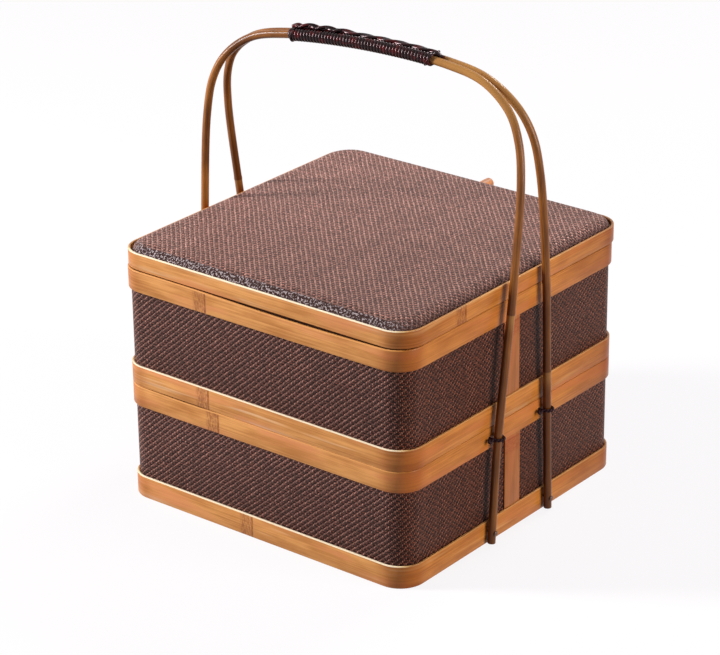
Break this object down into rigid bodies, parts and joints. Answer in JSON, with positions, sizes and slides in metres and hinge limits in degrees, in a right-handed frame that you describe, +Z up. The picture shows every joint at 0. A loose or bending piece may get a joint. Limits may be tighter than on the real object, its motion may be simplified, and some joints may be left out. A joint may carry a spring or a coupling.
{
  "type": "bamboo basket",
  "caption": "Square stacked picnic basket of woven bamboo with bent bamboo bands, a lifting lid, lifting upper tier and a fixed arch handle of bent rods wound with cane.",
  "frame": {"origin": "middle of the underside of the lower tier's floor board, on the table", "axes": "+Z up; +X square out of the wall that shows a pair of handle legs on the picture's right; the handle's arch runs along X; +Y towards the back, where the lid's peg is"},
  "size_m": [0.2384, 0.233, 0.2926],
  "materials": {
    "woven_bamboo": "dark brown stained twill weave of fine bamboo strips, satin",
    "woven_lid": "brown twill weave of fine bamboo strips, satin",
    "bamboo_band": "honey-coloured bent bamboo, varnished satin",
    "bamboo_slat": "split bamboo, varnished satin",
    "floor_board": "plain board",
    "bamboo_rod": "thin whole bamboo culm, smoked and varnished",
    "wound_cane": "near-black red-brown lacquered cane, glossy",
    "tie_cord": "dark twisted cord",
    "bamboo_pin": "small bamboo pin",
    "bamboo_peg": "orange-tan turned bamboo"
  },
  "bodies": {
    "lower_tier": {"lower_wall": "woven_bamboo", "lower_foot_band": "bamboo_band", "lower_rim_band": "bamboo_band", "lower_lip": "bamboo_band", "lower_floor": "floor_board", "lower_slat_right": "bamboo_slat", "lower_slat_left": "bamboo_slat", "handle_rod_front": "bamboo_rod", "handle_rod_back": "bamboo_rod", "grip_winding": "wound_cane", "grip_lacing": "wound_cane", "tie_right_front": "tie_cord", "tie_right_back": "tie_cord", "tie_left_front": "tie_cord", "tie_left_back": "tie_cord", "pin_right_front": "bamboo_pin", "pin_right_back": "bamboo_pin", "pin_left_front": "bamboo_pin", "pin_left_back": "bamboo_pin"},
    "upper_tier": {"upper_wall": "woven_bamboo", "upper_base_band": "bamboo_band", "upper_rim_band": "bamboo_band", "upper_lip": "bamboo_band", "upper_floor": "floor_board", "upper_slat_right": "bamboo_slat", "upper_slat_left": "bamboo_slat"},
    "lid": {"lid_band": "bamboo_band", "lid_hoop": "bamboo_band", "lid_board": "floor_board", "lid_cover": "woven_lid", "lid_peg": "bamboo_peg"}
  },
  "joints": [
    {"name": "upper_tier_lift", "type": "slide", "parent": "lower_tier", "child": "upper_tier", "axis": [0, 0, 1], "range_m": [0, 0.02]},
    {"name": "lid_lift", "type": "slide", "parent": "upper_tier", "child": "lid", "axis": [0, 0, 1], "range_m": [0, 0.02]}
  ]
}
